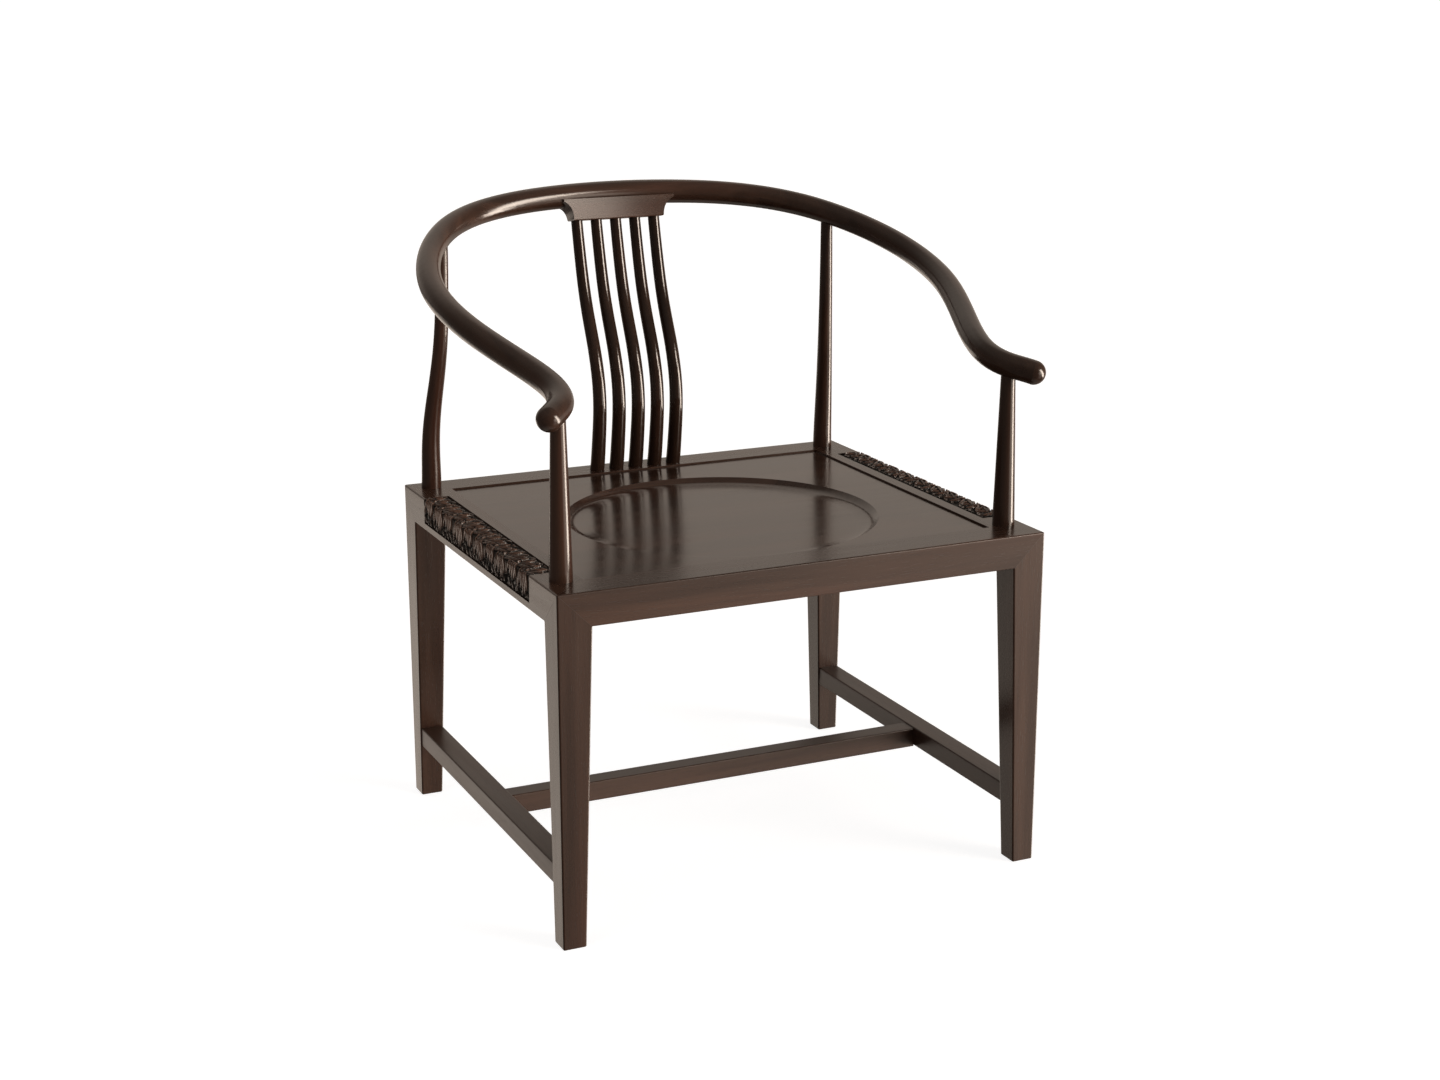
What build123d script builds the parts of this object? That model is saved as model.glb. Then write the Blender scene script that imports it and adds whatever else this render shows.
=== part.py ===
from build123d import *
import math
import os

# Horseshoe back armchair, solid wood, all sizes in millimetres.
# Frame of the file: +X to the right as seen from in front, +Y to the back, +Z up,
# floor at Z = 0. The seat frame is centred on X = 0 and Y = 0 while it is drawn;
# SHIFT_Y and SHIFT_Z move the finished pieces so that the whole chair's box is
# centred on the origin and stands on Z = 0.

# ---------------------------------------------------------------- seat frame
SEAT_W = 661.0            # over the side rails
SEAT_D = 584.0            # over the front and back rails
SEAT_H = 445.0            # top of the seat frame
RAIL_H = 43.0             # height of all four rails
SIDE_W = 51.5             # width of the side rails, seen from above
CROSS_W = 50.0            # width of the front and back rails
ARRIS = 2.0               # rounding of the long outer edges
RAIL_EASE = 1.0           # rounding of the rails' lower outer edges
SOFT = 0.8                # rounding of the smaller edges

# ---------------------------------------------------------------------- legs
LEG_TOP = 44.0            # leg width under the rails
LEG_FOOT = 30.0           # leg width at the floor
FOOT_CHAMFER = 1.0
FOOT_Z = -1.0             # underside of the feet in the drawing frame
LEG_TENON_0 = 8.0         # leg tenon, measured in from both outer faces
LEG_TENON_1 = 20.0
LEG_TENON_TOP = 9.0       # wood left above the leg tenon

# ---------------------------------------------------------------- stretchers
STR_TOP = 100.0           # side stretchers
STR_H = 26.5
STR_W = 30.0
STR_ROUND = 1.7
CROSS_STR_Z0 = 71.6
CROSS_STR_Z1 = 98.4
STR_INSET = 1.5           # outer face behind the legs' outer faces
STR_TENON = 12.0
CROSS_STR_Y0 = -29.0
CROSS_STR_Y1 = -1.0

# ---------------------------------------------------------------- seat panel
STEP = 2.2                # panel top below the frame top
PANEL_GAP = 0.6           # shadow gap round the raised field
PANEL_BOTTOM = 424.0
TONGUE_Z0, TONGUE_Z1 = 429.0, 437.0
TONGUE = 8.0
GROOVE = 10.0
DISH_Y = -31.0
DISH_R = 205.0
DISH_FLAT_R = 176.0
DISH_DEPTH = 7.6
DISH_COVE = [(186.0, 7.4), (193.0, 6.7), (197.5, 5.4), (201.2, 3.1)]   # radius, depth below the panel's top
DISH_RIM_SLOPE = 0.82

BATTEN_X = 112.0
BATTEN_W = 38.0
BATTEN_Z0 = 406.0
BATTEN_DOVETAIL = 4.0

# --------------------------------------------------------------- carved inset
CARVE_Y0, CARVE_Y1 = -199.0, 205.0
CARVE_TOP_W = 35.0        # on top of the rail, in from its outer face
CARVE_SIDE_H = 34.5       # down the outer face
CARVE_BED = 8.0           # depth of the recess
CARVE_PROUD = 2.0         # carving above the faces of the rail

# ----------------------------------------------------- posts, spindles, crest
FRONT_POST = (303.6, -235.8)
FRONT_POST_R0, FRONT_POST_R1 = 14.4, 8.8
REAR_POST = [             # z, x, y, radius
    (445.0, 301.0, 263.2, 13.6),
    (500.0, 300.6, 260.8, 12.4),
    (560.0, 297.4, 252.6, 11.1),
    (620.0, 291.9, 241.0, 10.0),
    (680.0, 288.4, 233.6, 9.2),
    (740.0, 286.9, 230.6, 8.6),
    (796.0, 286.4, 229.6, 8.1),
]
POST_TENON_R = 8.0
TOP_TENON_R = 5.5

SPINDLE_PITCH = 29.1
SPINDLE = [               # z, y, radius
    (445.0, 260.0, 10.15),
    (480.0, 252.6, 9.95),
    (515.0, 247.6, 9.65),
    (550.0, 246.4, 9.40),
    (585.0, 252.4, 9.20),
    (620.0, 265.2, 8.95),
    (655.0, 281.9, 8.75),
    (690.0, 296.4, 8.55),
    (725.0, 307.3, 8.35),
    (760.0, 316.2, 8.15),
    (797.0, 324.4, 7.95),
]

# One half of the crest's centre line from the middle of the back to the end
# of the arm: x, y, z and radius of the round section.
CREST = [
    (0.0, 331.5, 823.6, 17.00),
    (36.0, 330.3, 823.5, 16.80),
    (72.0, 326.8, 822.9, 16.60),
    (107.3, 321.3, 821.7, 16.40),
    (142.3, 313.9, 819.7, 16.25),
    (176.7, 304.0, 816.6, 16.10),
    (209.7, 290.6, 812.3, 15.97),
    (240.2, 272.5, 806.7, 15.87),
    (267.2, 249.9, 799.7, 15.80),
    (290.1, 223.4, 791.4, 15.74),
    (309.3, 194.2, 782.3, 15.70),
    (324.8, 163.2, 772.7, 15.68),
    (336.8, 130.8, 762.7, 15.67),
    (344.9, 97.6, 752.5, 15.67),
    (348.9, 63.6, 742.2, 15.68),
    (348.8, 29.1, 732.1, 15.70),
    (344.8, -5.2, 722.0, 15.73),
    (337.3, -38.8, 711.7, 15.76),
    (327.3, -71.9, 701.6, 15.78),
    (316.2, -104.6, 691.7, 15.80),
    (305.0, -137.4, 682.0, 15.80),
    (295.6, -170.8, 672.3, 15.80),
    (292.0, -204.6, 662.4, 15.80),
    (302.0, -237.0, 653.4, 15.75),
    (324.0, -262.1, 646.0, 15.65),
]
SCARF_AT = 6              # index of the point in the middle of the scarf joint
SCARF_LEN = 56.0
KEY = 7.0

# Head block: outlines of its front and back faces, x and z of the right half
# from the lower corner up the concave ear.
HEAD_Y0, HEAD_Y1 = 303.0, 337.2
HEAD_FRONT = [(68.0, 792.0), (68.4, 802.4), (71.0, 809.4), (75.6, 815.0), (82.0, 819.4)]
HEAD_BACK = [(68.0, 785.8), (71.2, 795.0), (76.6, 801.2), (84.0, 804.6), (94.0, 806.4)]
HEAD_TOP = 821.5
HEAD_FRONT_OFFSET = 20.0  # front face before the crest's centre line
HEAD_BACK_OFFSET = 5.7    # back face behind the crest's centre line
HEAD_ROUND = 1.8
HEAD_Z0 = 788.4           # underside at the spindles

SHIFT_Y = -((CREST[0][1] + CREST[0][3]) - SEAT_D / 2) / 2
SHIFT_Z = -FOOT_Z

HW, HD = SEAT_W / 2, SEAT_D / 2
RAIL_Z0 = SEAT_H - RAIL_H


def block(x0, x1, y0, y1, z0, z1):
    """A box between two corners."""
    return Pos((x0 + x1) / 2, (y0 + y1) / 2, (z0 + z1) / 2) * Box(x1 - x0, y1 - y0, z1 - z0)


def prism_xy(points, z0, z1):
    """A polygon in plan, between two heights."""
    face = make_face(Polyline([Vector(x, y, z0) for x, y in points], close=True))
    return extrude(face, z1 - z0, dir=(0, 0, 1))


def prism_xz(points, y0, y1):
    """A polygon in front view, between two depths."""
    face = make_face(Polyline([Vector(x, y0, z) for x, z in points], close=True))
    return extrude(face, y1 - y0, dir=(0, 1, 0))


def prism_yz(points, x0, x1):
    """A polygon in side view, between two widths."""
    face = make_face(Polyline([Vector(x0, y, z) for y, z in points], close=True))
    return extrude(face, x1 - x0, dir=(1, 0, 0))


def mirror_x(solid):
    return mirror(solid, about=Plane.YZ)


def mirror_y(solid):
    return mirror(solid, about=Plane.XZ)


def single(shape):
    """The one solid of a boolean result."""
    solids = shape.solids()
    if len(solids) == 1:
        return solids[0]
    return sorted(solids, key=lambda s: s.volume)[-1]


# ------------------------------------------------------------- frame envelope
# The outer shape that the rails and the leg heads share, with its outer
# upright and top edges softened.
envelope = block(-HW, HW, -HD, HD, 0, SEAT_H)
envelope = fillet(envelope.edges().filter_by(Axis.Z), ARRIS)
envelope = fillet(envelope.faces().sort_by(Axis.Z)[-1].edges(), ARRIS)


# ------------------------------------------------------------ front left leg
def rounded_square(size, z):
    """A square with one corner at the seat frame's front left corner."""
    centre = Pos(-HW + size / 2, -HD + size / 2, z)
    return centre * RectangleRounded(size, size, ARRIS)


leg_body = loft([rounded_square(LEG_FOOT, FOOT_Z), rounded_square(LEG_TOP, RAIL_Z0)], ruled=True)
leg_body = chamfer(leg_body.faces().sort_by(Axis.Z)[0].edges(), FOOT_CHAMFER)
# Head of the leg: the part of the corner that is further from the top than
# from either outer face, which makes the three-way mitre with the two rails.
head = block(-HW, -HW + RAIL_H, -HD, -HD + RAIL_H, RAIL_Z0, SEAT_H)
head = head & prism_xz([(-HW, SEAT_H), (-HW + RAIL_H, RAIL_Z0), (-HW, RAIL_Z0)], -HD, -HD + RAIL_H)
head = head & prism_yz([(-HD, SEAT_H), (-HD + RAIL_H, RAIL_Z0), (-HD, RAIL_Z0)], -HW, -HW + RAIL_H)
leg_tenon = block(-HW + LEG_TENON_0, -HW + LEG_TENON_1, -HD + LEG_TENON_0, -HD + LEG_TENON_1,
                  RAIL_Z0 - 4, SEAT_H - LEG_TENON_TOP)
leg = leg_body + (head & envelope) + leg_tenon

# ----------------------------------------------------------------- stretchers
STR_Z0 = STR_TOP - STR_H
str_x0, str_x1 = -HW + STR_INSET, -HW + STR_INSET + STR_W
leg_at_str = LEG_FOOT + (LEG_TOP - LEG_FOOT) * (STR_Z0 + STR_H / 2) / RAIL_Z0
side_str = block(str_x0, str_x1, -HD + leg_at_str - 6, HD - leg_at_str + 6, STR_Z0, STR_TOP)
side_str = fillet(side_str.edges().filter_by(Axis.Y), STR_ROUND)
side_str = side_str - leg_body - mirror_y(leg_body)
side_str = single(side_str)
str_mid = (str_x0 + str_x1) / 2
str_tenon = block(str_mid - 6, str_mid + 6, -HD + leg_at_str - STR_TENON, -HD + leg_at_str + 8,
                  STR_Z0 + 4, STR_TOP - 4)
side_str = side_str + str_tenon + mirror_y(str_tenon)
leg = leg - str_tenon

cross_str = block(-HW + STR_INSET + STR_W, HW - STR_INSET - STR_W, CROSS_STR_Y0, CROSS_STR_Y1,
                  CROSS_STR_Z0, CROSS_STR_Z1)
cross_str = fillet(cross_str.edges().filter_by(Axis.X), STR_ROUND)
cross_mid = (CROSS_STR_Y0 + CROSS_STR_Y1) / 2
cross_tenon = block(str_x1 - STR_TENON, str_x1 + 8, cross_mid - 9, cross_mid + 9, CROSS_STR_Z0 + 8, CROSS_STR_Z1 - 6)
cross_str = cross_str + cross_tenon + mirror_x(cross_tenon)
side_str = side_str - cross_tenon

# ----------------------------------------------------------------------- legs
leg_front_left = leg
leg_front_right = mirror_x(leg)
leg_back_left = mirror_y(leg)
leg_back_right = mirror_y(mirror_x(leg))
side_stretcher_left = side_str
side_stretcher_right = mirror_x(side_str)

# ---------------------------------------------------------- front/back rails
front_plan = prism_xy([(-HW, -HD), (HW, -HD), (HW - CROSS_W, -HD + CROSS_W), (-HW + CROSS_W, -HD + CROSS_W)],
                      RAIL_Z0, SEAT_H)
front_elev = prism_xz([(-HW, SEAT_H), (HW, SEAT_H), (HW - RAIL_H, RAIL_Z0), (-HW + RAIL_H, RAIL_Z0)],
                      -HD, -HD + CROSS_W)
front_rail = single((front_plan & front_elev) & envelope)
front_rail = fillet([e for e in front_rail.edges()
                     if abs(e.center().Z - RAIL_Z0) < 0.01 and abs(e.center().Y + HD) < 0.01], RAIL_EASE)
rail_tenon = block(-HW + 16, -HW + CROSS_W + 2, -HD + 31, -HD + 43, SEAT_H - 31, SEAT_H - 17)
front_rail = front_rail + rail_tenon + mirror_x(rail_tenon)

# ------------------------------------------------------------------ side rail
side_plan = prism_xy([(-HW, -HD), (-HW + CROSS_W, -HD + CROSS_W), (-HW + SIDE_W, -HD + CROSS_W),
                      (-HW + SIDE_W, HD - CROSS_W), (-HW + CROSS_W, HD - CROSS_W), (-HW, HD)], RAIL_Z0, SEAT_H)
side_elev = prism_yz([(-HD, SEAT_H), (HD, SEAT_H), (HD - RAIL_H, RAIL_Z0), (-HD + RAIL_H, RAIL_Z0)],
                     -HW, -HW + SIDE_W)
side_rail = single((side_plan & side_elev) & envelope)
side_rail = fillet([e for e in side_rail.edges()
                    if abs(e.center().Z - RAIL_Z0) < 0.01 and abs(e.center().X + HW) < 0.01], RAIL_EASE)

# Groove round the inside of the frame.
groove = block(-HW + SIDE_W - GROOVE, HW - SIDE_W + GROOVE, -HD + CROSS_W - GROOVE, HD - CROSS_W + GROOVE,
               TONGUE_Z0, TONGUE_Z1)

# Battens, with their stub tenons.
batten = block(-BATTEN_X - BATTEN_W / 2, -BATTEN_X + BATTEN_W / 2, -HD + CROSS_W, HD - CROSS_W,
               BATTEN_Z0, PANEL_BOTTOM)
batten = chamfer(batten.faces().sort_by(Axis.Z)[0].edges().filter_by(Axis.Y), 2.0)
dove_w = BATTEN_W - 10
dovetail = prism_xz([(-BATTEN_X - dove_w / 2 + 3, PANEL_BOTTOM - 1), (-BATTEN_X + dove_w / 2 - 3, PANEL_BOTTOM - 1),
                     (-BATTEN_X + dove_w / 2 - 3, PANEL_BOTTOM),
                     (-BATTEN_X + dove_w / 2, PANEL_BOTTOM + BATTEN_DOVETAIL),
                     (-BATTEN_X - dove_w / 2, PANEL_BOTTOM + BATTEN_DOVETAIL),
                     (-BATTEN_X - dove_w / 2 + 3, PANEL_BOTTOM)], -HD + CROSS_W + 1.0, HD - CROSS_W - 1.0)
batten_tenon = block(-BATTEN_X - 12, -BATTEN_X + 12, -HD + CROSS_W - 9, -HD + CROSS_W + 4, BATTEN_Z0 + 4, PANEL_BOTTOM - 2)
batten = batten + dovetail + batten_tenon + mirror_y(batten_tenon)

# Recess and L-section inset on the left side rail. The inset stands a little
# proud and its outer arris is rounded over.
recess = block(-HW - 5, -HW + CARVE_BED, CARVE_Y0, CARVE_Y1, SEAT_H - CARVE_SIDE_H, SEAT_H + 5)
recess = recess + block(-HW - 5, -HW + CARVE_TOP_W, CARVE_Y0, CARVE_Y1, SEAT_H - CARVE_BED, SEAT_H + 5)
inset = block(-HW - CARVE_PROUD, -HW + CARVE_TOP_W - 0.3, CARVE_Y0 + 0.3, CARVE_Y1 - 0.3,
              SEAT_H - CARVE_SIDE_H + 0.3, SEAT_H + CARVE_PROUD)
inset = fillet(inset.edges().filter_by(Axis.Y).sort_by(lambda e: e.center().Z - e.center().X)[-1], 4.0)
inset = inset - block(-HW + CARVE_BED, -HW + CARVE_TOP_W + 5, CARVE_Y0 - 5, CARVE_Y1 + 5,
                      SEAT_H - CARVE_SIDE_H - 5, SEAT_H - CARVE_BED)
inset = single(inset)


# ---------------------------------------------------------------------- posts
def round_spar(points, x_dir=(1, 0, 0)):
    """A round tapered spar through (x, y, z, radius) points, square to its own line."""
    line = Spline([Vector(x, y, z) for x, y, z, r in points])
    sections = []
    for x, y, z, r in points:
        t = line.tangent_at(line.param_at_point(Vector(x, y, z)))
        sections.append(Plane(origin=(x, y, z), x_dir=x_dir, z_dir=(t.X, t.Y, t.Z)) * Circle(r))
    return loft(sections)


def level_spar(points):
    """A round tapered spar through (x, y, z, radius) points with level sections."""
    return loft([Pos(x, y, z) * Circle(r) for x, y, z, r in points])


# ---------------------------------------------------------------- crest rail
full = [(-x, y, z, r) for x, y, z, r in reversed(CREST[1:])] + list(CREST)
crest_line = Spline([Vector(x, y, z) for x, y, z, r in full])
crest_sections = []
for x, y, z, r in full:
    t = crest_line.tangent_at(crest_line.param_at_point(Vector(x, y, z)))
    side = Vector(0, 0, 1).cross(t).normalized()
    crest_sections.append(Plane(origin=(x, y, z), x_dir=(side.X, side.Y, side.Z), z_dir=(t.X, t.Y, t.Z)) * Circle(r))
crest_tube = loft(crest_sections)
end_x, end_y, end_z, end_r = CREST[-1]
knob = Pos(end_x, end_y, end_z) * Sphere(end_r)
crest_tube = crest_tube + knob + mirror_x(knob)


def crest_height_at(x, y):
    """Height of the crest's centre line over the nearest point in plan."""
    return min(((px - x) ** 2 + (py - y) ** 2, pz) for px, py, pz, pr in CREST)[1]


# Posts: round spars run up into the crest, coped to it, each with a tenon.
fx, fy = FRONT_POST
front_top = 655.0
front_post = loft([Pos(fx, fy, SEAT_H) * Circle(FRONT_POST_R0), Pos(fx, fy, front_top) * Circle(FRONT_POST_R1)],
                  ruled=True)
front_post = single(front_post - crest_tube)
front_post = front_post + Pos(fx, fy, (SEAT_H - 19 + SEAT_H + 6) / 2) * Cylinder(POST_TENON_R, 25)
front_tip = Pos(fx, fy, 634) * Cylinder(TOP_TENON_R, 36)
front_post = front_post + front_tip

rear_post = level_spar([(x, y, z, r) for z, x, y, r in REAR_POST])
rear_post = single(rear_post - crest_tube)
rz0, rx0, ry0, rr0 = REAR_POST[0]
rear_post = rear_post + Pos(rx0, ry0, (SEAT_H - 15 + SEAT_H + 6) / 2) * Cylinder(POST_TENON_R, 21)
rear_tip = Pos(REAR_POST[-1][1], REAR_POST[-1][2], 778) * Cylinder(TOP_TENON_R, 32)
rear_post = rear_post + rear_tip

front_post_right = single(front_post)
front_post_left = mirror_x(front_post_right)
rear_post_right = single(rear_post)
rear_post_left = mirror_x(rear_post_right)

# ------------------------------------------------------------------ head block
def head_outline(ear, top, y):
    """Closed outline of the head block at one depth, with the ear on both sides."""
    right = Spline([Vector(x, y, z) for x, z in ear])
    left = Spline([Vector(-x, y, z) for x, z in reversed(ear)])
    ex, ez = ear[-1]
    bx, bz = ear[0]
    return make_face(Wire([
        Line(Vector(-bx, y, bz), Vector(bx, y, bz)).edge(),
        right.edge(),
        Line(Vector(ex, y, ez), Vector(ex, y, top)).edge(),
        Line(Vector(ex, y, top), Vector(-ex, y, top)).edge(),
        Line(Vector(-ex, y, top), Vector(-ex, y, ez)).edge(),
        left.edge(),
    ]))


head_raw = loft([head_outline(HEAD_FRONT, HEAD_TOP, HEAD_Y0), head_outline(HEAD_BACK, HEAD_TOP - 4.0, HEAD_Y1)],
                ruled=True)
head_raw = single(head_raw)


def beside_crest(offset):
    """The crest's centre line over the block in plan, moved back by offset."""
    half = [(x, y + offset) for x, y, z, r in CREST[:5]]
    return Spline([Vector(-x, y, 760) for x, y in reversed(half[1:])] + [Vector(x, y, 760) for x, y in half])


# The front and back faces follow the curve of the crest.
bx, by = CREST[4][0], CREST[4][1]
head_zone = extrude(make_face(Wire([
    beside_crest(HEAD_BACK_OFFSET).edge(),
    Line(Vector(bx, by + HEAD_BACK_OFFSET, 760), Vector(bx, by - HEAD_FRONT_OFFSET, 760)).edge(),
    beside_crest(-HEAD_FRONT_OFFSET).edge(),
    Line(Vector(-bx, by - HEAD_FRONT_OFFSET, 760), Vector(-bx, by + HEAD_BACK_OFFSET, 760)).edge(),
])), 80, dir=(0, 0, 1))
head_raw = single(head_raw & head_zone)
low = [e for e in head_raw.edges() if e.center().Z < 791.5]
head_raw = single(fillet(low, HEAD_ROUND))
head_block = single(head_raw - crest_tube)
head_tongue = block(-50, 50, 326.5, 334.0, HEAD_Z0 + 9, 818.0)
head_block = single(head_block + head_tongue)

# -------------------------------------------------------------------- spindles
spindle_profile = [(0.0, y, z, r) for z, y, r in SPINDLE]
spindle = round_spar(spindle_profile)
spindle = single(spindle - head_raw - block(-40, 40, 200, 400, SEAT_H - 40, SEAT_H))
sz0, sy0, sr0 = SPINDLE[0]
spindle_foot_y = sy0
spindle_top_y = SPINDLE[-1][1] - 1.0
spindle = spindle + Pos(0, spindle_foot_y, SEAT_H - 5) * Cylinder(6.0, 24)
spindle = single(spindle + Pos(0, spindle_top_y, HEAD_Z0 + 3) * Cylinder(4.6, 18))
spindles = [Pos((i - 2) * SPINDLE_PITCH, 0, 0) * spindle for i in range(5)]

# --------------------------------------------------- mortises in the frame
front_rail_final = front_rail - groove - leg_tenon - mirror_x(leg_tenon)
back_rail = mirror_y(front_rail) - groove - mirror_y(leg_tenon) - mirror_y(mirror_x(leg_tenon))
for rail_batten in (batten, mirror_x(batten)):
    front_rail_final = front_rail_final - rail_batten
    back_rail = back_rail - rail_batten
for s in spindles:
    back_rail = back_rail - s
back_rail = back_rail - rear_post_left - rear_post_right
seat_rail_front = single(front_rail_final)
seat_rail_back = single(back_rail)

side_rail = side_rail - groove - leg_tenon - mirror_y(leg_tenon)
side_rail = side_rail - rail_tenon - mirror_y(rail_tenon) - recess
side_rail = side_rail - front_post_left - rear_post_left
seat_rail_left = single(side_rail)
seat_rail_right = mirror_x(seat_rail_left)

for s in spindles:
    head_block = head_block - s
head_block = single(head_block)

# ----------------------------------------------------------------- seat panel
PX, PY = HW - SIDE_W, HD - CROSS_W
panel = block(-PX + PANEL_GAP, PX - PANEL_GAP, -PY + PANEL_GAP, PY - PANEL_GAP, PANEL_BOTTOM, SEAT_H - STEP)
panel = chamfer(panel.faces().sort_by(Axis.Z)[-1].edges(), SOFT)
panel = panel + block(-PX - TONGUE, PX + TONGUE, -PY - TONGUE, PY + TONGUE, TONGUE_Z0, TONGUE_Z1)
# Round dish: flat floor that rises in a cove to a steep wall under the rim.
pt = SEAT_H - STEP
pb = pt - DISH_DEPTH
cove = Spline([Vector(DISH_FLAT_R, DISH_Y, pb)] + [Vector(r, DISH_Y, pt - d) for r, d in DISH_COVE]
              + [Vector(DISH_R, DISH_Y, pt)], tangents=[Vector(1, 0, 0), Vector(1, 0, DISH_RIM_SLOPE)])
dish_face = make_face([
    cove.edge(),
    Line(Vector(DISH_R, DISH_Y, pt), Vector(DISH_R, DISH_Y, pt + 5)).edge(),
    Line(Vector(DISH_R, DISH_Y, pt + 5), Vector(0, DISH_Y, pt + 5)).edge(),
    Line(Vector(0, DISH_Y, pt + 5), Vector(0, DISH_Y, pb)).edge(),
    Line(Vector(0, DISH_Y, pb), Vector(DISH_FLAT_R, DISH_Y, pb)).edge(),
])
dish = revolve(dish_face, axis=Axis((0, DISH_Y, 0), (0, 0, 1)), revolution_arc=360)
panel = panel - dish
panel = panel - batten - mirror_x(batten)
seat_panel = single(panel)
seat_batten_left = single(batten)
seat_batten_right = mirror_x(seat_batten_left)


# ------------------------------------------- crest lengths and scarf joints
px, py, pz, pr = CREST[SCARF_AT]
t = crest_line.tangent_at(crest_line.param_at_point(Vector(px, py, pz)))
# Local frame of the right-hand scarf: x along the rail towards the arm,
# y level across it, z up through it.
scarf = Plane(origin=(px, py, pz), x_dir=(t.X, t.Y, t.Z), z_dir=Vector(t.X, t.Y, t.Z).cross(
    Vector(0, 0, 1).cross(t)).normalized())
to_world = scarf.location
H = SCARF_LEN / 2
beyond = to_world * (Pos(H + 200, 0, 0) * Box(400, 140, 400))
lower = to_world * (Pos(0, 0, -50) * Box(SCARF_LEN, 140, 100))
arm_zone = beyond + lower
# The arm zone is only used on the crest between the scarf and the hand end.
arm_side = prism_xy([(px - 60, -400), (px - 60, 330), (600, 330), (600, -400)], 500, 900)
arm_right = (crest_tube & arm_side)
near = to_world * (Pos(-H - 150, 0, 0) * Box(300, 160, 200))
upper = to_world * (Pos(0, 0, 50) * Box(SCARF_LEN, 140, 100))
arm_right = single(arm_right - near - upper)
center = crest_tube - arm_right - mirror_x(arm_right)
center = single(center)

key_r = to_world * Box(KEY, 60, KEY)
key_r = single(key_r & crest_tube)
# The key is driven from the outside and stops short of the inner face.
stop = to_world * (Pos(0, 0, 0) * Box(20, 60, 20))
inner_dir = Vector(0, 0, 1).cross(t).normalized()
inner_stop = to_world * (Pos(0, pr + 15 - 6, 0) * Box(20, 30, 20))
if inner_dir.dot(Vector(-px, -py + 150, 0)) < 0:
    inner_stop = to_world * (Pos(0, -(pr + 15 - 6), 0) * Box(20, 30, 20))
key_r = single(key_r - inner_stop)
arm_right = arm_right - key_r
center = center - key_r - mirror_x(key_r)

arm_right = arm_right - front_post_right - rear_post_right
crest_arm_right = single(arm_right)
crest_arm_left = mirror_x(crest_arm_right)
center = center - head_tongue
crest_center = single(center)
crest_scarf_pins = Compound(children=[key_r, mirror_x(key_r)])

# ------------------------------------------------------------------- write out
parts = {
    "leg_front_left": leg_front_left,
    "leg_front_right": leg_front_right,
    "leg_back_left": leg_back_left,
    "leg_back_right": leg_back_right,
    "seat_rail_front": seat_rail_front,
    "seat_rail_back": seat_rail_back,
    "seat_rail_left": seat_rail_left,
    "seat_rail_right": seat_rail_right,
    "seat_panel": seat_panel,
    "seat_batten_left": seat_batten_left,
    "seat_batten_right": seat_batten_right,
    "carved_panel_left": inset,
    "carved_panel_right": mirror_x(inset),
    "side_stretcher_left": side_stretcher_left,
    "side_stretcher_right": side_stretcher_right,
    "cross_stretcher": cross_str,
    "front_post_left": front_post_left,
    "front_post_right": front_post_right,
    "rear_post_left": rear_post_left,
    "rear_post_right": rear_post_right,
    "spindle_1": spindles[0],
    "spindle_2": spindles[1],
    "spindle_3": spindles[2],
    "spindle_4": spindles[3],
    "spindle_5": spindles[4],
    "head_block": head_block,
    "crest_center": crest_center,
    "crest_arm_left": crest_arm_left,
    "crest_arm_right": crest_arm_right,
    "crest_scarf_pins": crest_scarf_pins,
}

os.makedirs("parts", exist_ok=True)
for name, shape in parts.items():
    moved = Pos(0, SHIFT_Y, SHIFT_Z) * shape
    solids = moved.solids()
    out = solids[0] if len(solids) == 1 else Compound(children=list(solids))
    out.label = name
    export_step(out, os.path.join("parts", name + ".step"))
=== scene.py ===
import math
import random

import bmesh
import bpy
import numpy as np
from mathutils import Matrix, Vector


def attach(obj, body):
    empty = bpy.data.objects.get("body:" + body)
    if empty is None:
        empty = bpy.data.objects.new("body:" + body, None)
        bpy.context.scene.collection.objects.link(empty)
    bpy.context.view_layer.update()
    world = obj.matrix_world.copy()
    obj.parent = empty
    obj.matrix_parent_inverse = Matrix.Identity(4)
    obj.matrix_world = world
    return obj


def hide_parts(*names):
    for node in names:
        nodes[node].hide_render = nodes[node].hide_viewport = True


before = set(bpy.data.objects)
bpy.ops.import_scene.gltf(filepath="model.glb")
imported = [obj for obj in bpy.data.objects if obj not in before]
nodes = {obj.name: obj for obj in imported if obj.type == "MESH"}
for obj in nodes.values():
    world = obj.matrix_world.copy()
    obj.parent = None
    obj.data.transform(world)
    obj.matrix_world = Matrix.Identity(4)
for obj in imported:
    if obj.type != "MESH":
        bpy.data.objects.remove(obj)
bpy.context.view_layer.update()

scene = bpy.context.scene

# The seat frame in metres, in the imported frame.
SHIFT_Y = -0.02825
SHIFT_Z = 0.001
HW, HD = 0.3305, 0.292
TOP = 0.445 + SHIFT_Z
RAIL_Z0 = 0.402 + SHIFT_Z


# --------------------------------------------------------------------- camera
def add_camera():
    cam = bpy.data.cameras.new("camera")
    ob = bpy.data.objects.new("camera", cam)
    scene.collection.objects.link(ob)
    place = Vector((-1.2067, -2.6197 + SHIFT_Y, 1.1932 + SHIFT_Z))
    yaw, pitch = math.radians(24.951), math.radians(15.372)
    fwd = Vector((math.sin(yaw) * math.cos(pitch), math.cos(yaw) * math.cos(pitch), -math.sin(pitch)))
    right = Vector((math.cos(yaw), -math.sin(yaw), 0))
    up = right.cross(fwd)
    m = Matrix((right, up, -fwd)).transposed().to_4x4()
    m.translation = place
    ob.matrix_world = m
    cam.sensor_width = 36
    cam.lens = 56.378
    cam.clip_end = 400
    scene.camera = ob


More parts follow.
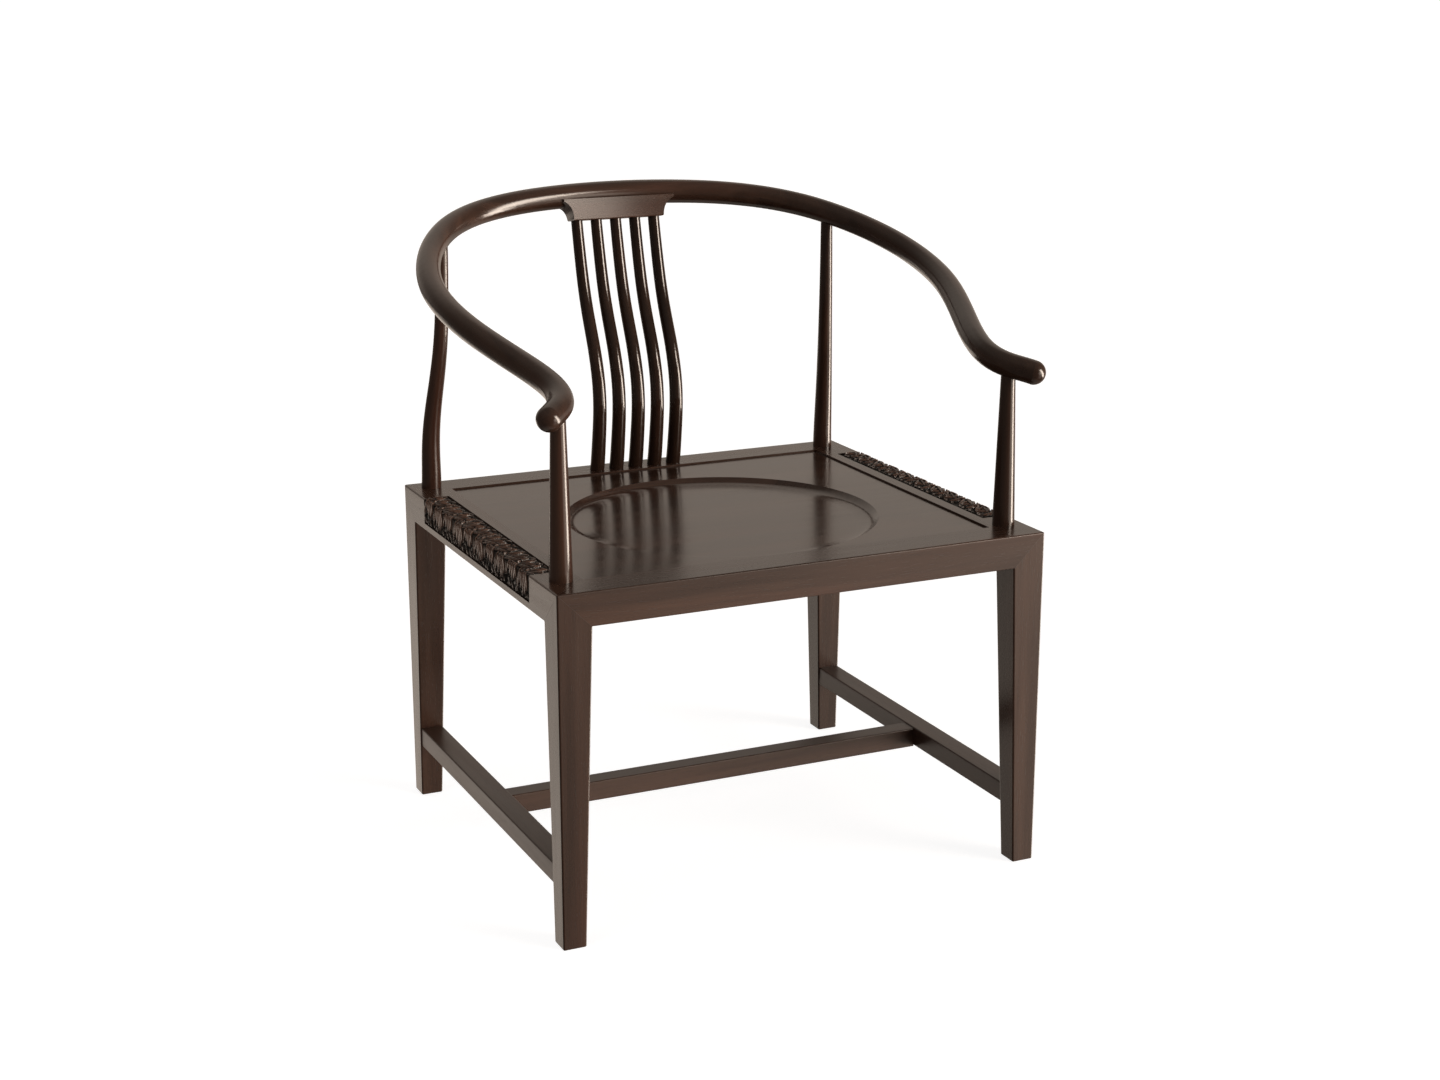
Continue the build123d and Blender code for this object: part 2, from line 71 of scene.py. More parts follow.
# ---------------------------------------------------------------- node helper
class Tree:
    """Short calls for building a node tree."""

    def __init__(self, tree):
        self.t = tree

    def node(self, kind, **inputs):
        n = self.t.nodes.new(kind)
        for key, value in inputs.items():
            setattr(n, key, value)
        return n

    def put(self, socket, value):
        if isinstance(value, bpy.types.NodeSocket):
            self.t.links.new(value, socket)
        else:
            socket.default_value = value

    def math(self, op, a, b=None, c=None, clamp=False):
        n = self.node("ShaderNodeMath", operation=op, use_clamp=clamp)
        self.put(n.inputs[0], a)
        if b is not None:
            self.put(n.inputs[1], b)
        if c is not None:
            self.put(n.inputs[2], c)
        return n.outputs[0]

    def vec(self, op, a, b=None):
        n = self.node("ShaderNodeVectorMath", operation=op)
        self.put(n.inputs[0], a)
        if b is not None:
            self.put(n.inputs[1], b)
        return n.outputs[1] if op in ("DOT_PRODUCT", "LENGTH") else n.outputs[0]

    def step(self, value, lo, hi, out_lo=0.0, out_hi=1.0):
        """Smooth step of value between lo and hi."""
        n = self.node("ShaderNodeMapRange", interpolation_type="SMOOTHSTEP")
        self.put(n.inputs["Value"], value)
        self.put(n.inputs["From Min"], lo)
        self.put(n.inputs["From Max"], hi)
        self.put(n.inputs["To Min"], out_lo)
        self.put(n.inputs["To Max"], out_hi)
        return n.outputs["Result"]

    def ramp(self, value, lo, hi, out_lo, out_hi):
        n = self.node("ShaderNodeMapRange", interpolation_type="LINEAR", clamp=True)
        self.put(n.inputs["Value"], value)
        self.put(n.inputs["From Min"], lo)
        self.put(n.inputs["From Max"], hi)
        self.put(n.inputs["To Min"], out_lo)
        self.put(n.inputs["To Max"], out_hi)
        return n.outputs["Result"]

    def mix(self, factor, a, b):
        n = self.node("ShaderNodeMix", data_type="RGBA", blend_type="MIX", clamp_factor=True)
        self.put(n.inputs[0], factor)
        self.put(n.inputs[6], a)
        self.put(n.inputs[7], b)
        return n.outputs[2]

    def times(self, colour, value):
        """Colour multiplied by a value."""
        n = self.node("ShaderNodeMix", data_type="RGBA", blend_type="MULTIPLY", clamp_factor=True)
        n.inputs[0].default_value = 1.0
        self.put(n.inputs[6], colour)
        c = self.node("ShaderNodeCombineColor")
        for i in range(3):
            self.put(c.inputs[i], value)
        self.put(n.inputs[7], c.outputs[0])
        return n.outputs[2]

    def noise(self, vector, scale, detail=2.0, rough=0.5, distortion=0.0):
        n = self.node("ShaderNodeTexNoise", noise_dimensions="3D")
        self.put(n.inputs["Vector"], vector)
        n.inputs["Scale"].default_value = scale
        n.inputs["Detail"].default_value = detail
        n.inputs["Roughness"].default_value = rough
        n.inputs["Distortion"].default_value = distortion
        return n.outputs["Fac"]


# ----------------------------------------------------------------- stained wood
GRAIN = {"x": (0.0, -math.pi / 2, 0.0), "y": (math.pi / 2, 0.0, 0.0), "z": (0.0, 0.0, 0.0)}


def stained_wood(name, axis, seed, tilt=(0.0, 0.0, 0.0), tone=1.0, rough=0.24, joints=False, relief=None,
                 grain=1.0, specular=0.5):
    """Dark stained, lacquered close-grained wood with its grain along one axis.

    The stain shows soft long figure, fine fibres, short open pores and a few
    redder streaks; the lacquer follows the fibres very slightly.
    """
    rnd = random.Random(seed)
    mat = bpy.data.materials.new(name)
    mat.use_nodes = True
    t = Tree(mat.node_tree)
    bsdf = mat.node_tree.nodes["Principled BSDF"]
    obj = t.node("ShaderNodeTexCoord").outputs["Object"]

    place = t.node("ShaderNodeMapping", vector_type="POINT")
    t.put(place.inputs["Vector"], obj)
    place.inputs["Location"].default_value = [rnd.uniform(-3, 3) for _ in range(3)]
    turn = GRAIN[axis]
    place.inputs["Rotation"].default_value = (turn[0] + tilt[0], turn[1] + tilt[1], turn[2] + tilt[2])
    g = place.outputs["Vector"]                      # grain along the third axis

    # A slow sideways wander, so no streak runs dead straight.
    wander = t.node("ShaderNodeTexNoise", noise_dimensions="3D")
    t.put(wander.inputs["Vector"], t.vec("MULTIPLY", g, (3.0, 3.0, 1.6)))
    wander.inputs["Scale"].default_value = 1.0
    wander.inputs["Detail"].default_value = 1.0
    bend = t.vec("MULTIPLY", t.vec("SUBTRACT", wander.outputs["Color"], (0.5, 0.5, 0.5)), (0.030, 0.030, 0.0))
    g = t.vec("ADD", g, bend)

    figure = t.noise(t.vec("MULTIPLY", g, (34.0, 34.0, 1.7)), 1.0, detail=4.0, rough=0.55, distortion=0.35)
    band = t.noise(t.vec("MULTIPLY", g, (95.0, 95.0, 3.2)), 1.0, detail=3.0, rough=0.6)
    fibre = t.noise(t.vec("MULTIPLY", g, (620.0, 620.0, 16.0)), 1.0, detail=3.0, rough=0.65)
    pore_n = t.noise(t.vec("MULTIPLY", g, (1300.0, 1300.0, 60.0)), 1.0, detail=1.0, rough=0.5)
    cloud = t.noise(t.vec("MULTIPLY", g, (7.0, 7.0, 2.2)), 1.0, detail=2.0, rough=0.5)
    red_n = t.noise(t.vec("MULTIPLY", g, (16.0, 16.0, 1.1)), 1.0, detail=3.0, rough=0.6)

    dark = tuple(tone * c for c in (0.0240, 0.0122, 0.0082)) + (1.0,)
    brown = tuple(tone * c for c in (0.0450, 0.0236, 0.0160)) + (1.0,)
    red = tuple(tone * c for c in (0.0620, 0.0250, 0.0165)) + (1.0,)

    colour = t.mix(t.step(figure, 0.30, 0.70), dark, brown)
    colour = t.mix(t.step(red_n, 0.52, 0.78, 0.0, 0.55), colour, red)
    colour = t.times(colour, t.ramp(band, 0.25, 0.75, 0.84, 1.14))
    colour = t.times(colour, t.ramp(fibre, 0.25, 0.75, 1.0 - 0.15 * grain, 1.0 + 0.12 * grain))
    colour = t.times(colour, t.ramp(cloud, 0.3, 0.7, 0.84, 1.14))
    pore = t.step(pore_n, 0.62, 0.70)
    colour = t.times(colour, t.ramp(pore, 0.0, 1.0, 1.0, 1.0 - 0.42 * grain))

    height = t.math("MULTIPLY", fibre, 0.30 * grain)
    height = t.math("SUBTRACT", height, t.math("MULTIPLY", pore, 0.10 * grain))
    gloss = t.ramp(band, 0.25, 0.75, rough - 0.03, rough + 0.03)
    gloss = t.math("ADD", gloss, t.math("MULTIPLY", pore, 0.05))

    if joints:
        # Hairlines of the mitres on the top, front and side faces of the frame.
        sep = t.node("ShaderNodeSeparateXYZ")
        t.put(sep.inputs[0], obj)
        nrm = t.node("ShaderNodeSeparateXYZ")
        t.put(nrm.inputs[0], t.node("ShaderNodeNewGeometry").outputs["Normal"])
        dx = t.math("SUBTRACT", HW, t.math("ABSOLUTE", sep.outputs[0]))
        dy = t.math("SUBTRACT", HD, t.math("ABSOLUTE", t.math("SUBTRACT", sep.outputs[1], SHIFT_Y)))
        dz = t.math("SUBTRACT", TOP, sep.outputs[2])

        def near(a, b, face):
            d = t.math("ABSOLUTE", t.math("SUBTRACT", a, b))
            line = t.step(d, 0.00015, 0.00045, 1.0, 0.0)
            return t.math("MULTIPLY", line, t.step(t.math("ABSOLUTE", face), 0.80, 0.95))

        seam = near(dx, dy, nrm.outputs[2])
        seam = t.math("MAXIMUM", seam, near(dx, dz, nrm.outputs[1]))
        seam = t.math("MAXIMUM", seam, near(dy, dz, nrm.outputs[0]))
        seam = t.math("MULTIPLY", seam, t.math("GREATER_THAN", sep.outputs[2], RAIL_Z0 - 0.0005))
        colour = t.times(colour, t.ramp(seam, 0.0, 1.0, 1.0, 0.60))
        height = t.math("SUBTRACT", height, t.math("MULTIPLY", seam, 0.3))
        gloss = t.math("ADD", gloss, t.math("MULTIPLY", seam, 0.10))

    if relief:
        # Painted shade and light: the colour is darkened in the hollows of the carving, where shade falls, and
        # lightened on its high points, where light catches; the hollows are also rougher.
        depth = t.node("ShaderNodeAttribute", attribute_type="GEOMETRY", attribute_name=relief).outputs["Fac"]
        hollow_shade_rim_light = t.math("POWER", t.ramp(depth, 0.38, 0.98, 0.0, 1.0), 2.2)
        colour = t.times(colour, t.math("ADD", t.math("MULTIPLY", hollow_shade_rim_light, 3.0), 0.06))
        gloss = t.math("ADD", gloss, t.ramp(depth, 0.30, 0.75, 0.45, 0.0))

    t.put(bsdf.inputs["Base Color"], colour)
    t.put(bsdf.inputs["Roughness"], gloss)
    bsdf.inputs["IOR"].default_value = 1.5
    bsdf.inputs["Specular IOR Level"].default_value = specular
    bump = t.node("ShaderNodeBump")
    bump.inputs["Strength"].default_value = 0.07
    bump.inputs["Distance"].default_value = 0.00012
    t.put(bump.inputs["Height"], height)
    t.put(bsdf.inputs["Normal"], bump.outputs["Normal"])
    return mat


def finish_node(name, mat):
    ob = nodes[name]
    ob.data.materials.clear()
    ob.data.materials.append(mat)


# ------------------------------------------------------------- carved leaf strip
# The strip wraps over the outer arris of the side rail. It is unrolled into
# (s, y): s runs from its inner edge on top of the rail, over the arris and down
# the outer face; y runs along the rail. Lengths here are in millimetres.
CARVE_Y0, CARVE_Y1 = -198.7, 204.7
CARVE_R = 5.0
CARVE_X_OUT = 332.5
CARVE_X_IN = 330.5 - 34.7
CARVE_Z_TOP = 448.0
CARVE_Z_LOW = 446.0 - 34.2
SEG_TOP = CARVE_X_OUT - CARVE_R - CARVE_X_IN
SEG_ARC = CARVE_R * math.pi / 2
SEG_SIDE = CARVE_Z_TOP - CARVE_R - CARVE_Z_LOW
S_LEN = SEG_TOP + SEG_ARC + SEG_SIDE
GROUND = 4.4


def leaf_stamp(H, sg, yg, rnd, pts, width, level, hollow, trench=0.9, claw=False):
    """Press one pointed leaf with raised rims into the height map.

    pts are the three control points of its spine in (s, y), width its half
    width, level the height of its rims above the ground at the tip and hollow
    how deep it is gouged between them. A cut trench wide runs round it. A claw
    keeps one height all along and has steep sides.
    """
    (s0, y0), (s1, y1), (s2, y2) = pts
    lo_s, hi_s = min(s0, s1, s2) - width - 3, max(s0, s1, s2) + width + 3
    lo_y, hi_y = min(y0, y1, y2) - width - 3, max(y0, y1, y2) + width + 3
    i0, i1 = np.searchsorted(sg, [lo_s, hi_s])
    j0, j1 = np.searchsorted(yg, [lo_y, hi_y])
    phase = rnd.uniform(0, 6.28)
    if i1 - i0 < 2 or j1 - j0 < 2:
        return
    S, Y = np.meshgrid(sg[i0:i1], yg[j0:j1], indexing="ij")
    n = 22
    tt = np.linspace(0, 1, n)
    cs = (1 - tt) ** 2 * s0 + 2 * tt * (1 - tt) * s1 + tt ** 2 * s2
    cy = (1 - tt) ** 2 * y0 + 2 * tt * (1 - tt) * y1 + tt ** 2 * y2
    best = np.full(S.shape, 1e9)
    par = np.zeros(S.shape)
    sgn = np.ones(S.shape)
    for k in range(n - 1):
        ax, ay = cs[k], cy[k]
        bx, by = cs[k + 1] - ax, cy[k + 1] - ay
        q = bx * bx + by * by + 1e-9
        u = np.clip(((S - ax) * bx + (Y - ay) * by) / q, 0, 1)
        dx, dy = S - ax - u * bx, Y - ay - u * by
        d = np.hypot(dx, dy)
        m = d < best
        best = np.where(m, d, best)
        par = np.where(m, tt[k] + u / (n - 1), par)
        sgn = np.where(m, np.sign(bx * (Y - ay) - by * (S - ax)), sgn)
    par = np.clip(par, 0, 1)
    length = float(np.hypot(np.diff(cs), np.diff(cy)).sum())
    run = par * length
    shape = np.clip(np.sin(np.pi * par ** 0.85), 0, 1) ** 0.60
    wave = 4.6 + 0.5 * width
    lobes = 1.0 + 0.09 * (np.abs(np.sin(np.pi * run / wave + phase + 0.7 * sgn)) - 0.6)
    w = width * shape * lobes + 0.05
    r = best / w
    inside = r < 1.0
    lip = 0.72 if claw else 0.68
    over = np.clip((r - lip) / (1 - lip), 0, 1)
    if claw:
        rim = level * np.clip(0.75 + par * 2.0, 0, 1)
        inner = rim - hollow * np.exp(-(best / 0.6) ** 2)
        outer = rim - 0.8 * rim * over ** 1.6
    else:
        rim = level * (0.66 + 0.34 * np.sin(0.5 * np.pi * np.clip(par * 1.6, 0, 1)))
        # Gouged between two rims, with a thin midrib and slanting flutes.
        gouge = hollow * (0.5 + 0.5 * np.cos(np.pi * np.clip(r / lip, 0, 1)))
        flutes = 0.14 * hollow * (0.5 + 0.5 * np.cos(2 * np.pi * (run - 0.8 * best) / wave + phase))
        inner = rim - gouge - flutes * (r < lip) + 0.45 * np.exp(-(best / 0.7) ** 2) * shape
        outer = rim - 0.6 * rim * (1 - np.sqrt(np.clip(1 - over ** 2, 0, 1)))
    h = np.where(r < lip, inner, outer)
    patch = H[i0:i1, j0:j1]
    on = inside & ((par > 0.16) | (h > patch))
    cut = (~inside) & (best - w < trench) & (par > 0.10)
    patch = np.where(on, np.maximum(h, 0.3), patch)
    H[i0:i1, j0:j1] = np.where(cut, np.minimum(patch, 0.10 * level), patch)


def carve_height(seed, step):
    """Height of the carving above its ground over the unrolled strip."""
    rnd = random.Random(seed)
    sg = np.linspace(0, S_LEN, int(round(S_LEN / step)) + 1)
    yg = np.linspace(CARVE_Y0, CARVE_Y1, int(round((CARVE_Y1 - CARVE_Y0) / step)) + 1)
    H = np.zeros((len(sg), len(yg)))
    arris = SEG_TOP + SEG_ARC * 0.5

    def leaf(s0, y0, s1, y1, width, level, curl=0.0, hollow=1.3, trench=0.9, claw=False):
        """A leaf from its root (s0, y0) to its tip (s1, y1), bowed sideways by curl of its length."""
        s1 += rnd.uniform(-1.0, 1.0)
        y1 += rnd.uniform(-1.0, 1.0)
        m_s = (s0 + s1) / 2 - curl * (y1 - y0)
        m_y = (y0 + y1) / 2 + curl * (s1 - s0)
        leaf_stamp(H, sg, yg, rnd, [(s0, y0), (m_s, m_y), (s1, y1)], width, level, hollow, trench, claw)

    # Low filling leaves, deep between the others.
    for k in range(620):
        s, y, a, ln = (rnd.uniform(2.5, S_LEN - 6), rnd.uniform(CARVE_Y0 + 2, CARVE_Y1 - 2), rnd.gauss(0, 1.0),
                       rnd.uniform(9, 14))
        leaf(s, y, s + ln * math.cos(a), y + ln * math.sin(a), rnd.uniform(2.3, 3.0), rnd.uniform(1.9, 3.1),
             rnd.uniform(-0.3, 0.3), 0.6, 0.45)
    # Sprays, one every tenth of the length: leaflets hang down the outer face
    # like claws and longer leaves fan out over the top towards the front.
    count = 10
    pitch = (CARVE_Y1 - CARVE_Y0) / count
    for k in range(-1, count + 1):
        y = CARVE_Y0 + (k + 0.5) * pitch + rnd.uniform(-1.2, 1.2)
        big = k % 2 == 0
        up = 0.0 if big else -3.0
        size = 1.0 if big else 0.84
        # short leaves along the lower and the inner border
        for d in (-14.0, -1.0, 11.0):
            d1, d2, l1, l2 = (rnd.uniform(-4, 4) for _ in range(4))
            leaf(S_LEN - 11.0 + d1 / 2, y + d + d1, S_LEN - 3.4, y + d + d1 - 9.0 + l1, rnd.uniform(2.0, 2.6), 3.6,
                 rnd.uniform(-0.35, 0.35), 0.9)
            leaf(11.0 - d2 / 2, y + d + 3 + d2, 3.6, y + d + d2 - 6.0 + l2, rnd.uniform(2.0, 2.6), 3.6,
                 rnd.uniform(-0.35, 0.35), 0.9)
        # a broad leaf down the outer face, behind the claws of this spray and the next
        leaf(arris + 1.0, y + 20.0, arris + 27.0 + 2 * up, y + 17.0, 4.4, 3.9, -0.12, 0.9)
        # over the top: long leaves towards the front, shorter ones inwards and back
        for ds, dy, w in ((-15.0, 18.0, 4.0), (-29.0, 10.0, 4.6), (-31.0, -8.0, 4.6), (-27.0, -26.0, 4.8),
                          (-13.0, -37.0, 4.8)):
            leaf(arris - 1.0 + up, y + 0.10 * dy, arris + ds * size + up, y + dy * size + rnd.uniform(-3, 3), w * size,
                 rnd.uniform(3.9, 4.3), (0.20 if dy < 0 else -0.20) + rnd.uniform(-0.06, 0.06), 2.2, 1.6)
        # claws down the outer face, each over the one behind it
        for dy, ln, w in ((12.0, 21.0, 2.4), (6.3, 27.0, 2.7), (0.0, 31.0, 2.9), (-6.3, 31.0, 2.9), (-12.3, 25.0, 2.6)):
            leaf(arris - 3.0 + up, y + 0.75 * dy, arris - 2.0 + up + ln * size, y + 1.08 * dy - 3.0, w,
                 4.3, -0.24 + rnd.uniform(-0.05, 0.05), 0.15, 1.5, True)
        # the curl that the spray springs from
        for q, rr in ((0, 6.0), (1, 3.2)):
            a0 = 2.4 + 2.3 * q
            p = [(arris - 3.0 + up + rr * g * math.cos(a0 + a), y + 2.0 + rr * g * math.sin(a0 + a))
                 for a, g in ((0.0, 1.0), (1.2, 1.6), (2.4, 1.0))]
            leaf_stamp(H, sg, yg, rnd, p, 2.3 - 0.4 * q, 4.3, 0.7)
    # Leaves stop short of the border, where the ground runs on as a quirk.
    S, Y = np.meshgrid(sg, yg, indexing="ij")
    edge = np.minimum(np.minimum(S, S_LEN - S), np.minimum(Y - CARVE_Y0, CARVE_Y1 - Y))
    fade = np.clip((edge - 1.0) / 0.9, 0, 1)
    fade = fade * fade * (3 - 2 * fade)
    H = H * fade
    # A little tool texture.
    rs = np.random.RandomState(seed)
    gx = rs.rand(*H.shape)
    for _ in range(3):
        gx = (gx + np.roll(gx, 1, 0) + np.roll(gx, -1, 0) + np.roll(gx, 1, 1) + np.roll(gx, -1, 1)) / 5
    H = H + (gx - 0.5) * 0.04 * fade
    # Soften the cuts by a hair, as the lacquer does.
    H[1:-1, 1:-1] = (H[1:-1, 1:-1] * 6 + H[2:, 1:-1] + H[:-2, 1:-1] + H[1:-1, 2:] + H[1:-1, :-2]) / 10
    return sg, yg, np.clip(H, 0, GROUND)


def strip_point(s):
    """Point and outward normal of the strip's outer face for the left rail, mm."""
    if s <= SEG_TOP:
        return (-(CARVE_X_IN + s), CARVE_Z_TOP), (0.0, 1.0)
    if s <= SEG_TOP + SEG_ARC:
        a = (s - SEG_TOP) / CARVE_R
        n = (-math.sin(a), math.cos(a))
        return (-(CARVE_X_OUT - CARVE_R) + CARVE_R * n[0], CARVE_Z_TOP - CARVE_R + CARVE_R * n[1]), n
    d = s - SEG_TOP - SEG_ARC
    return (-CARVE_X_OUT, CARVE_Z_TOP - CARVE_R - d), (-1.0, 0.0)


def carved_strip(name, node, seed, sign):
    step = 0.66
    sg, yg, H = carve_height(seed, step)
    ns, ny = H.shape
    low = 0.25                                   # highest leaves a hair inside the CAD face
    base = np.array([strip_point(s)[0] for s in sg])
    nrm = np.array([strip_point(s)[1] for s in sg])
    top_h = H.max()
    D = low + (top_h - H)                        # depth under the CAD face
    # Keep the arris clear of folding over itself.
    D = np.minimum(D, 4.4)
    X = base[:, 0][:, None] - nrm[:, 0][:, None] * D
    Z = base[:, 1][:, None] - nrm[:, 1][:, None] * D
    inner = [(-(330.5 - 34.7), 438.2), (-(330.5 - 7.8), 438.2), (-(330.5 - 7.8), CARVE_Z_LOW)]
    rings = ns + 3
    verts = np.zeros((ny, rings, 3))
    verts[:, :ns, 0] = X.T
    verts[:, :ns, 2] = Z.T
    for k, (x, z) in enumerate(reversed(inner)):
        verts[:, ns + k, 0] = x
        verts[:, ns + k, 2] = z
    verts[:, :, 1] = yg[:, None]
    verts[:, :, 0] *= -sign
    verts[:, :, 1] += SHIFT_Y * 1000
    verts /= 1000.0
    faces = []
    for j in range(ny - 1):
        a = j * rings
        b = a + rings
        for i in range(rings):
            i2 = (i + 1) % rings
            faces.append((a + i, b + i, b + i2, a + i2))
    faces.append(tuple(range(rings)))
    faces.append(tuple((ny - 1) * rings + i for i in reversed(range(rings))))
    mesh = bpy.data.meshes.new(name)
    mesh.from_pydata(verts.reshape(-1, 3).tolist(), [], faces)
    att = mesh.attributes.new("relief", "FLOAT", "POINT")
    rel = np.zeros((ny, rings))
    rel[:, :ns] = (H / max(top_h, 1e-6)).T
    att.data.foreach_set("value", rel.reshape(-1).astype(np.float32))
    bm = bmesh.new()
    bm.from_mesh(mesh)
    bmesh.ops.recalc_face_normals(bm, faces=bm.faces)
    bm.to_mesh(mesh)
    bm.free()
    mesh.shade_smooth()
    mesh.set_sharp_from_angle(angle=math.radians(48))
    ob = bpy.data.objects.new(name, mesh)
    scene.collection.objects.link(ob)
    mesh.materials.append(stained_wood(name + "_wood", "y", seed, tone=1.15, rough=0.22, grain=0.3, relief="relief"))
    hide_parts(node)
    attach(ob, "root")
    return ob


# ------------------------------------------------------------------ floor, light
def add_floor():
    size = 150.0
    mesh = bpy.data.meshes.new("floor")
    n = 24
    verts = [(size * math.cos(2 * math.pi * i / n), size * math.sin(2 * math.pi * i / n), 0.0) for i in range(n)]
    mesh.from_pydata(verts, [], [tuple(range(n))])
    ob = bpy.data.objects.new("floor", mesh)
    scene.collection.objects.link(ob)
    mat = bpy.data.materials.new("floor_paint")
    mat.use_nodes = True
    bsdf = mat.node_tree.nodes["Principled BSDF"]
    bsdf.inputs["Base Color"].default_value = (0.40, 0.42, 0.45, 1)
    bsdf.inputs["Roughness"].default_value = 0.9
    bsdf.inputs["Specular IOR Level"].default_value = 0.0
    bsdf.inputs["Emission Color"].default_value = (1, 1, 1, 1)
    bsdf.inputs["Emission Strength"].default_value = 0.86
    mesh.materials.append(mat)
    ob.visible_glossy = False
    ob.visible_diffuse = False
    ob.visible_shadow = False
    return ob


def add_side_fill():
    """A large soft light on the left that fills the shadow side and leaves no highlight."""
    light = bpy.data.lights.new("side_fill", "AREA")
    light.shape = "SQUARE"
    light.size = 2.4
    light.energy = 26.0
    light.color = (1.0, 0.92, 0.86)
    ob = bpy.data.objects.new("side_fill", light)
    scene.collection.objects.link(ob)
    place = Vector((-2.9, -1.0, 1.6))
    ob.location = place
    ob.rotation_euler = (Vector((0.0, 0.0, 0.45)) - place).to_track_quat("-Z", "Y").to_euler()
    ob.visible_glossy = False
    ob.visible_camera = False


def studio_world():
    """A dim studio with a tall wall of soft light on the right and a weak one behind on the left.

    Directions are given by azimuth, 0 in front of the chair and positive to its
    right, and elevation, both in degrees.
    """
    world = bpy.data.worlds.new("studio")
    scene.world = world
    world.use_nodes = True
    t = Tree(world.node_tree)
    back = world.node_tree.nodes["Background"]
    sep = t.node("ShaderNodeSeparateXYZ")
    t.put(sep.inputs[0], t.node("ShaderNodeTexCoord").outputs["Generated"])
    x, y, z = sep.outputs
    az = t.math("MULTIPLY", t.math("ARCTAN2", x, t.math("MULTIPLY", y, -1.0)), 180 / math.pi)
    el = t.math("MULTIPLY", t.math("ARCSINE", z), 180 / math.pi)

    def patch(az0, az1, el0, el1, soft_az=10.0, soft_el=8.0, lean=0.0):
        """A soft-edged rectangle of sky, 0 to 1, that leans lean degrees sideways per degree up."""
        mid, half = (az0 + az1) / 2, (az1 - az0) / 2
        d = t.math("SUBTRACT", az, mid)
        if lean:
            d = t.math("SUBTRACT", d, t.math("MULTIPLY", el, lean))
        d = t.math("WRAP", d, 180.0, -180.0)
        a = t.step(t.math("ABSOLUTE", d), half - soft_az / 2, half + soft_az / 2, 1.0, 0.0)
        b = t.step(el, el0 - soft_el / 2, el0 + soft_el / 2)
        c = t.step(el, el1 - soft_el / 2, el1 + soft_el / 2, 1.0, 0.0)
        return t.math("MULTIPLY", a, t.math("MULTIPLY", b, c))

    total = t.step(el, 15.0, 62.0, 0.12, 0.27)
    total = t.math("ADD", total, t.step(el, -72.0, -42.0, 0.30, 0.0))
    for level, args in STUDIO:
        total = t.math("ADD", total, t.math("MULTIPLY", patch(*args), level))
    tint = t.times((1.0, 0.86, 0.74, 1.0), total)
    t.put(back.inputs["Color"], tint)
    back.inputs["Strength"].default_value = 1.0


STUDIO = [
    # level, (azimuth from, to, elevation from, to, softness az, el)
    (21.0, (46.0, 66.0, -25.0, 25.0, 8.0, 8.0, -0.70)),   # tall leaning soft box in front on the right
    (0.3, (96.0, 148.0, -46.0, 0.0, 20.0, 16.0)),         # floor lit by it, on the right
    (0.46, (120.0, 205.0, -5.0, 52.0, 60.0, 20.0)),       # pale wall behind
    (1.25, (-200.0, -153.0, -29.0, -13.0, 20.0, 5.0)),    # weak strip light low behind on the left
    (0.9, (23.0, 50.0, -40.0, 6.0, 16.0, 16.0)),          # spill in front
    (2.4, (21.0, 46.0, -11.0, 6.0, 10.0, 6.0)),           # brighter towards the top
]


# ------------------------------------------------------------------------ build
add_camera()
add_floor()
add_side_fill()
studio_world()

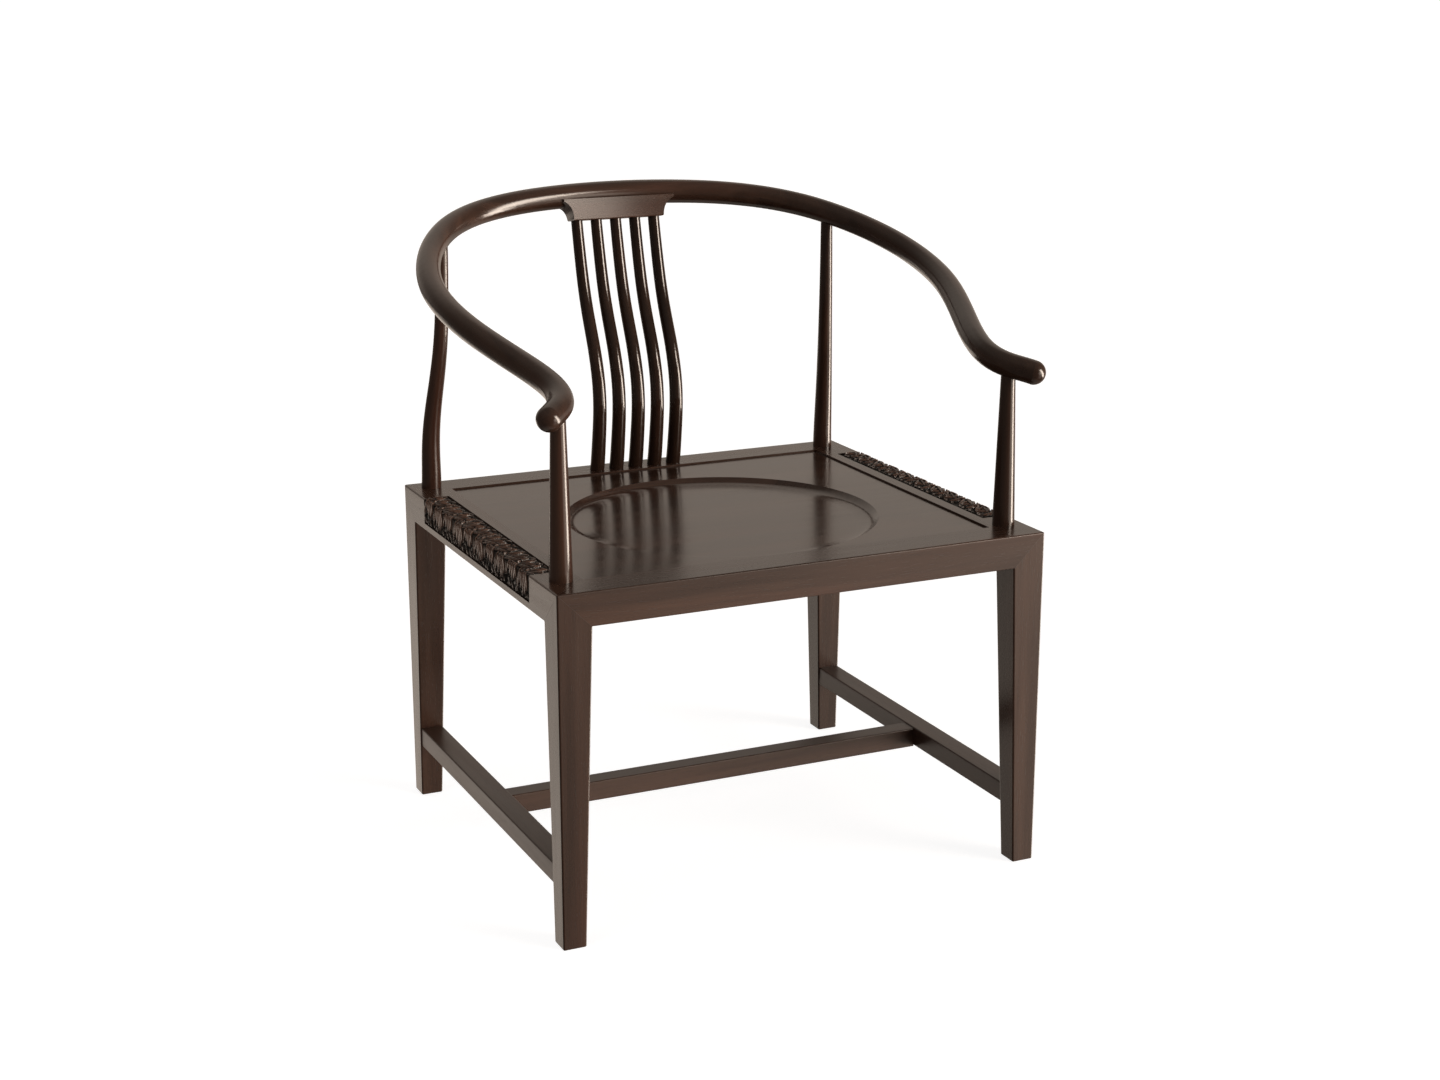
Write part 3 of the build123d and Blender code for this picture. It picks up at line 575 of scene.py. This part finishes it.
plain = [
    # node, grain axis, seed, tilt of the grain, mitre hairlines
    ("leg_front_left", "z", 11, (0, 0, 0), True),
    ("leg_front_right", "z", 12, (0, 0, 0), True),
    ("leg_back_left", "z", 13, (0, 0, 0), True),
    ("leg_back_right", "z", 14, (0, 0, 0), True),
    ("seat_rail_front", "x", 15, (0, 0, 0), True),
    ("seat_rail_back", "x", 16, (0, 0, 0), True),
    ("seat_rail_left", "y", 17, (0, 0, 0), True),
    ("seat_rail_right", "y", 18, (0, 0, 0), True),
    ("side_stretcher_left", "y", 19, (0, 0, 0), False),
    ("side_stretcher_right", "y", 20, (0, 0, 0), False),
    ("cross_stretcher", "x", 21, (0, 0, 0), False),
    ("seat_panel", "x", 22, (0, 0, 0), False),
    ("seat_batten_left", "y", 23, (0, 0, 0), False),
    ("seat_batten_right", "y", 24, (0, 0, 0), False),
    ("front_post_left", "z", 25, (0, 0, 0), False),
    ("front_post_right", "z", 26, (0, 0, 0), False),
    ("rear_post_left", "z", 27, (0, 0, 0), False),
    ("rear_post_right", "z", 28, (0, 0, 0), False),
    ("spindle_1", "z", 29, (0, 0, 0), False),
    ("spindle_2", "z", 30, (0, 0, 0), False),
    ("spindle_3", "z", 31, (0, 0, 0), False),
    ("spindle_4", "z", 32, (0, 0, 0), False),
    ("spindle_5", "z", 33, (0, 0, 0), False),
    ("head_block", "x", 34, (0, 0, 0), False),
    ("crest_center", "x", 35, (0, 0, 0), False),
    ("crest_arm_left", "y", 36, (math.radians(-17), 0, 0), False),
    ("crest_arm_right", "y", 37, (math.radians(-17), 0, 0), False),
    ("crest_scarf_pins", "x", 38, (0, 0, 0), False),
]
for name, axis, seed, tilt, seams in plain:
    # Lacquer: rubbed flatter on the seat and block, polished on the round parts, dull low down.
    tone, rough, grain, specular = 1.0, 0.24, 0.8, 0.5
    if name == "seat_panel":
        tone, rough, grain = 0.95, 0.18, 0.25
    elif name == "head_block":
        tone, rough, grain, specular = 1.25, 0.26, 0.4, 1.0
    elif name.startswith("spindle"):
        tone, rough, grain = 0.5, 0.09, 0.1
    elif "post" in name or name.startswith("crest"):
        tone, rough, grain = 0.85, 0.19, 0.25
    elif "stretcher" in name:
        rough = 0.36
    finish_node(name, stained_wood(name + "_wood", axis, seed, tilt=tilt, joints=seams,
                                   tone=tone, rough=rough, grain=grain, specular=specular))

carved_strip("leaf_carving_left", "carved_panel_left", 5, -1)
carved_strip("leaf_carving_right", "carved_panel_right", 8, 1)

scene.view_settings.view_transform = "Standard"
scene.view_settings.look = "None"
